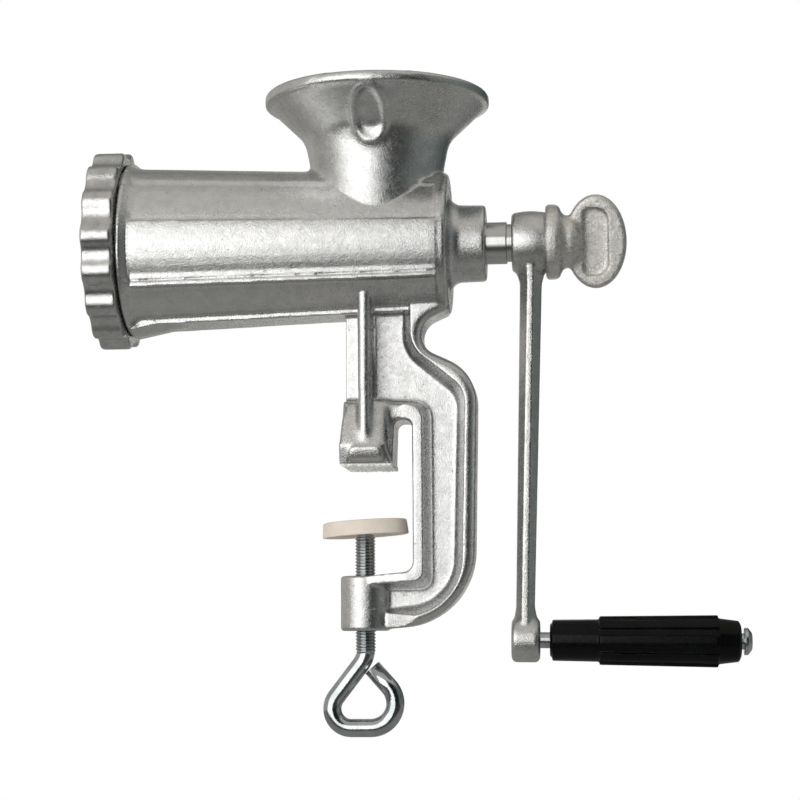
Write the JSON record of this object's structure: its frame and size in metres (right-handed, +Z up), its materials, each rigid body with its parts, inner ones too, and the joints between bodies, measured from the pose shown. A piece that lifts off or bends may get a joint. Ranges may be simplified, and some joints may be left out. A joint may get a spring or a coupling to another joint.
{
  "type": "meat grinder",
  "caption": "Table-clamped hand crank meat grinder: tapered barrel with flared hopper, lobed ring nut over a perforated plate, feed screw, crank with turning grip and eye-screw clamp.",
  "frame": {"origin": "on the clamp screw's axis, in the downward face of the upper jaw that rests on the table", "axes": "+Z up, +X along the barrel from the ring nut to the crank, +Y across the barrel, away from the side pictured"},
  "size_m": [0.3053, 0.107, 0.3032],
  "materials": {
    "tinned_casting": "hot-tinned rough casting, semi-bright with a sandy grain",
    "pale_casting": "pale matte rough casting",
    "bare_steel": "ground",
    "zinc_steel": "bright zinc plate",
    "black_plastic": "satin black, moulded",
    "beige_plastic": "plain moulded"
  },
  "bodies": {
    "frame": {"barrel": "tinned_casting", "hopper": "tinned_casting", "upper_jaw": "tinned_casting", "clamp_arm": "tinned_casting", "plate_key_pin": "bare_steel", "thrust_washer": "bare_steel"},
    "drive": {"feed_screw": "tinned_casting", "knife_stud": "bare_steel", "cutter_knife": "bare_steel"},
    "crank": {"crank_arm": "tinned_casting", "grip_pin": "zinc_steel"},
    "thumb": {"thumb_screw": "pale_casting"},
    "grip": {"grip_handle": "black_plastic"},
    "plate": {"grinding_plate": "bare_steel"},
    "ring": {"ring_nut": "tinned_casting"},
    "carrier": {"pad_washer": "zinc_steel"},
    "screw": {"clamp_screw": "zinc_steel"},
    "pad": {"clamp_pad": "beige_plastic"}
  },
  "joints": [
    {"name": "crank_turn", "type": "hinge", "parent": "frame", "child": "drive", "pos_m": [0, 0, 0.1065], "axis": [1, 0, 0], "continuous": true},
    {"name": "crank_pull", "type": "slide", "parent": "drive", "child": "crank", "axis": [1, 0, 0], "range_m": [0, 0.015]},
    {"name": "thumb_turn", "type": "hinge", "parent": "crank", "child": "thumb", "pos_m": [0.0878, 0, 0.1065], "axis": [1, 0, 0], "range_deg": [0, 3640]},
    {"name": "grip_spin", "type": "hinge", "parent": "crank", "child": "grip", "pos_m": [0.07465, 0, -0.0802], "axis": [0.9999, 0, -0.0122], "continuous": true},
    {"name": "plate_pull", "type": "slide", "parent": "frame", "child": "plate", "axis": [-1, 0, 0], "range_m": [0, 0.0091]},
    {"name": "ring_turn", "type": "hinge", "parent": "plate", "child": "ring", "pos_m": [-0.123, 0, 0.1065], "axis": [-1, 0, 0], "range_deg": [0, 1080]},
    {"name": "clamp_travel", "type": "slide", "parent": "frame", "child": "carrier", "axis": [0, 0, 1], "range_m": [-0.0166, 0.0106]},
    {"name": "clamp_turn", "type": "hinge", "parent": "carrier", "child": "screw", "pos_m": [0, 0, -0.0272], "axis": [0, 0, 1], "range_deg": [-4000, 2560]},
    {"name": "pad_tilt", "type": "hinge", "parent": "carrier", "child": "pad", "pos_m": [0, 0, -0.0272], "axis": [0, 1, 0], "range_deg": [0, 6.6]}
  ],
  "couplings": [
    {"joint": "thumb_turn", "follows": "crank_pull", "rad_per_m": 4188.8},
    {"joint": "plate_pull", "follows": "ring_turn", "m_per_rad": 0.00047746},
    {"joint": "clamp_turn", "follows": "clamp_travel", "rad_per_m": 4188.8}
  ]
}
